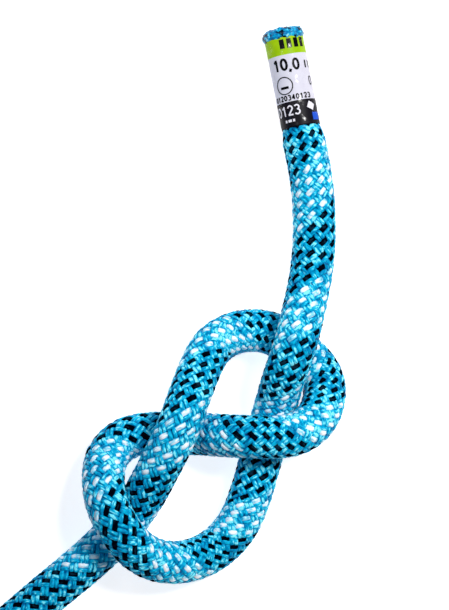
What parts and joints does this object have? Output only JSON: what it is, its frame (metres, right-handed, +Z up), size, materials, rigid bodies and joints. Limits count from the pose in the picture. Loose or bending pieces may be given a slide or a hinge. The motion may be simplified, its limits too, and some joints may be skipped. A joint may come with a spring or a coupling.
{
  "type": "dynamic climbing rope",
  "caption": "Dynamic climbing rope with a figure-eight knot near its end, the rest in a strapped round coil, with labelled and melted ends.",
  "frame": {"origin": "centre of the footprint, on the ground", "axes": "+Z up from the ground, +X from the coil towards the knot, +Y along the free tail of the knot"},
  "size_m": [0.273, 0.2012, 0.1317],
  "materials": {
    "sheath": "braided polyamide in bright blue with black and white accent yarns",
    "core": "twisted raw white polyamide",
    "marker": "single coloured thread",
    "melted": "heat-cut and fused yarn ends",
    "label": "printed film in three bands, lime, white and black",
    "sleeve": "clear shrink sleeve, slightly wrinkled",
    "webbing": "woven polyester webbing"
  },
  "bodies": {
    "root": {"clear_sleeve_far": "sleeve", "clear_sleeve_near": "sleeve", "coil_tie_1": "webbing", "coil_tie_2": "webbing", "coil_tie_3": "webbing", "core_strand_1": "core", "core_strand_2": "core", "core_strand_3": "core", "core_strand_4": "core", "core_strand_5": "core", "core_strand_6": "core", "core_strand_7": "core", "end_label_far": "label", "end_label_near": "label", "marker_thread": "marker", "melted_tip_far": "melted", "melted_tip_near": "melted", "rope_coil": "sheath", "rope_far_tail": "sheath", "sheath": "sheath"}
  },
  "joints": []
}
